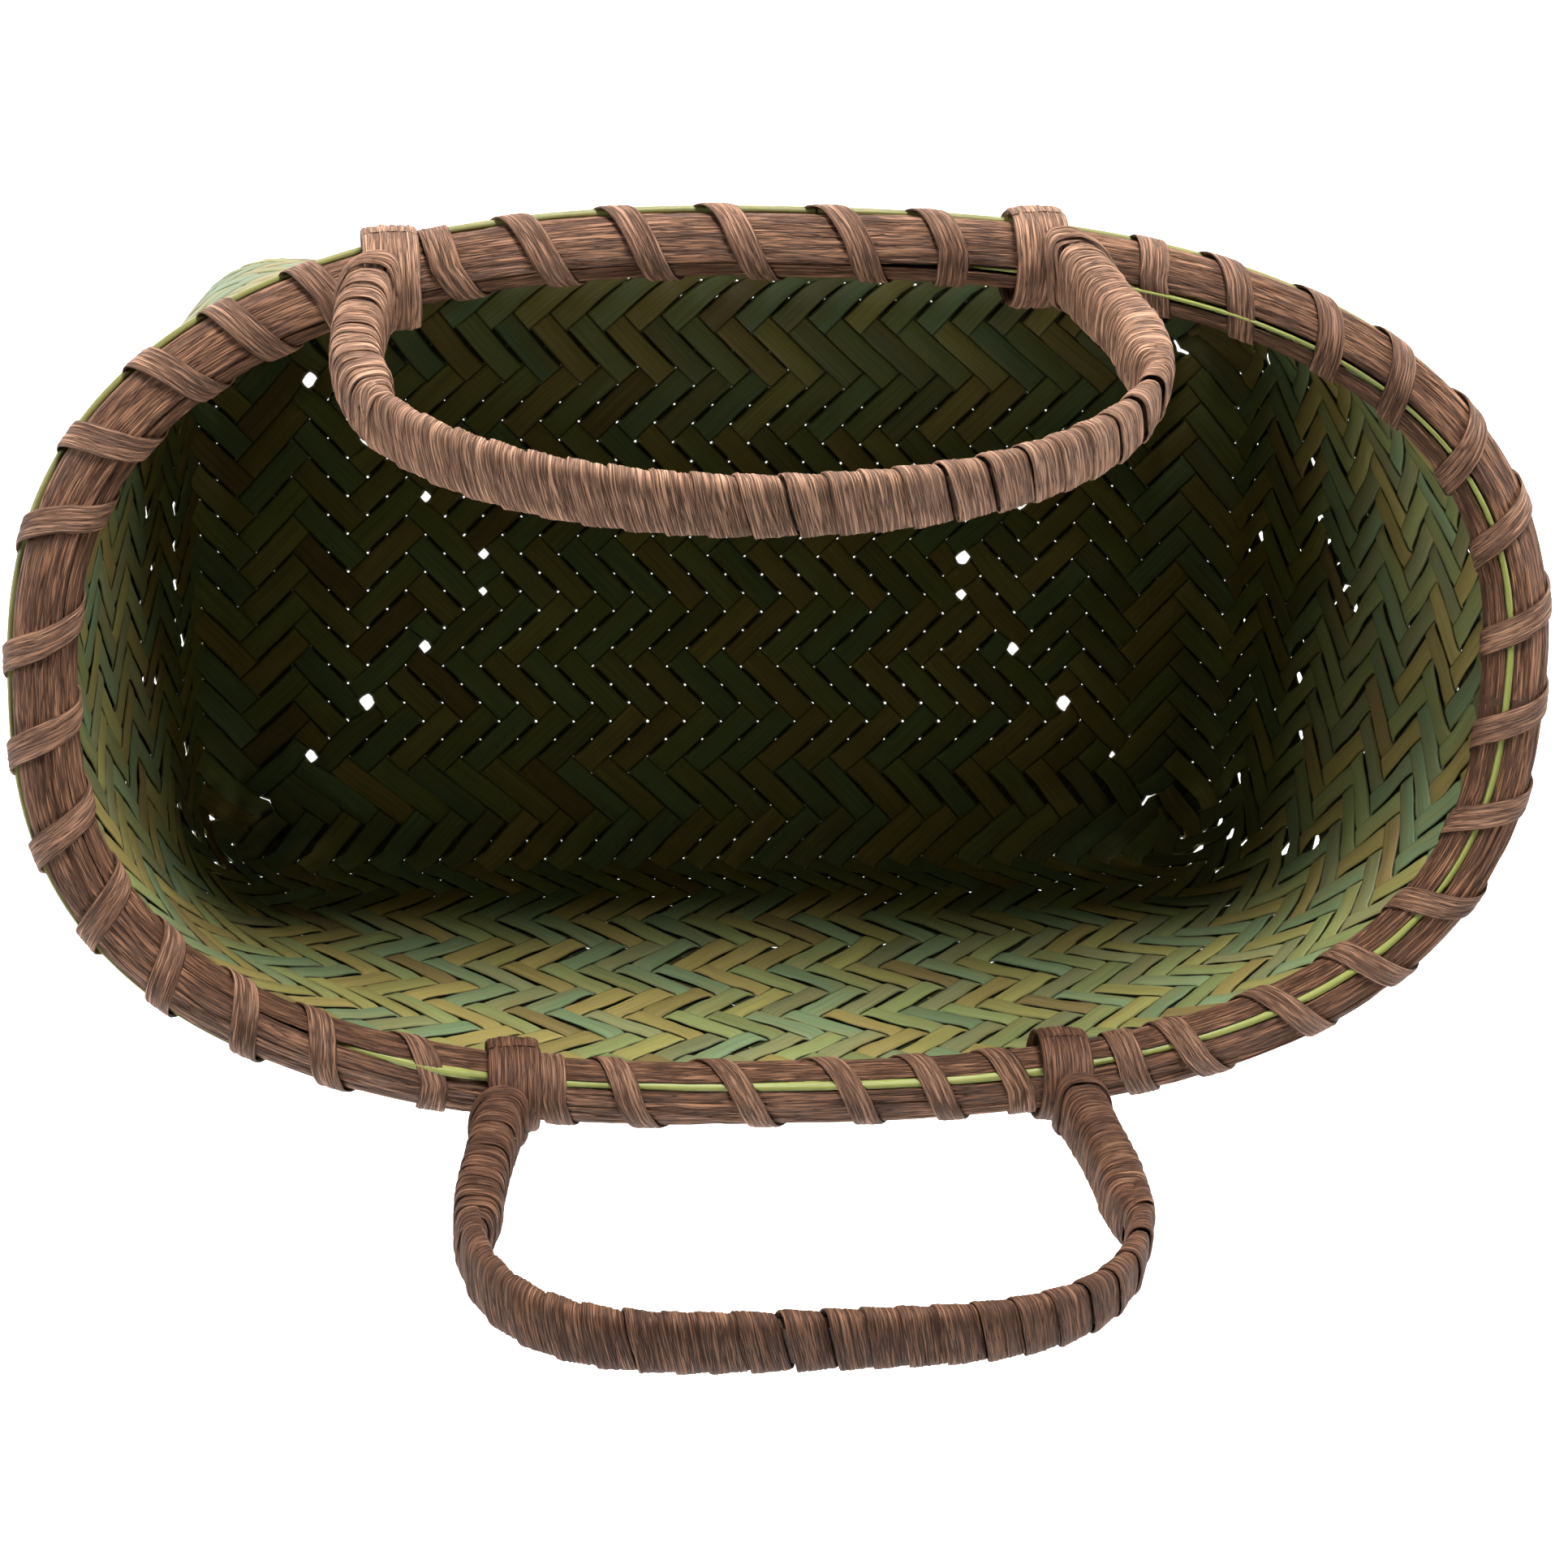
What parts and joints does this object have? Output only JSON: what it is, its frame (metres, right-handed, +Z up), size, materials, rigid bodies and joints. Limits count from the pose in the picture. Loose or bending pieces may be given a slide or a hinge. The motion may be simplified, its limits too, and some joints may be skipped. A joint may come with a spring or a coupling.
{
  "type": "mushroom foraging basket",
  "caption": "Flat-bottomed foraging basket of diagonally woven flat splints, with an oval lashed rim and wrapped bow handles that swing on loops round the rim.",
  "frame": {"origin": "middle of the underside of the flat bottom", "axes": "+X along the basket, +Y to the side of the handle that leans in over the opening, +Z up"},
  "size_m": [0.3923, 0.2641, 0.2493],
  "materials": {
    "splint_green": "flat dyed splints, satin",
    "cane_olive": "dyed split cane, satin",
    "bast_brown": "crinkled plant fibre, matte",
    "cane_core": "raw cane, matte"
  },
  "bodies": {
    "basket": {"woven_basket": "splint_green", "rim_inner_core": "cane_core", "rim_inner_sheath": "bast_brown", "rim_outer_core": "cane_core", "rim_outer_sheath": "bast_brown", "rim_filler_strip": "cane_olive", "rim_outer_band": "cane_olive", "rim_lashing_right": "bast_brown", "rim_lashing_back": "bast_brown", "rim_lashing_left": "bast_brown", "rim_lashing_front": "bast_brown"},
    "back_handle": {"back_handle_cane": "cane_core", "back_handle_grip_wrap": "bast_brown", "back_handle_left_loop": "bast_brown", "back_handle_right_loop": "bast_brown", "back_handle_left_collar": "bast_brown", "back_handle_right_collar": "bast_brown", "back_handle_left_leg_wrap": "bast_brown", "back_handle_right_leg_wrap": "bast_brown"},
    "front_handle": {"front_handle_cane": "cane_core", "front_handle_grip_wrap": "bast_brown", "front_handle_left_loop": "bast_brown", "front_handle_right_loop": "bast_brown", "front_handle_left_collar": "bast_brown", "front_handle_right_collar": "bast_brown", "front_handle_left_leg_wrap": "bast_brown", "front_handle_right_leg_wrap": "bast_brown"}
  },
  "joints": [
    {"name": "back_handle_swing", "type": "hinge", "parent": "basket", "child": "back_handle", "pos_m": [-0.0245, 0.10398, 0.14879], "axis": [0.9984, 0.0545, -0.0122], "range_deg": [-134.5, 95.5]},
    {"name": "front_handle_swing", "type": "hinge", "parent": "basket", "child": "front_handle", "pos_m": [0.001, -0.10612, 0.14843], "axis": [1, 0.0023, 0.0005], "range_deg": [-136.5, 93.5]}
  ]
}
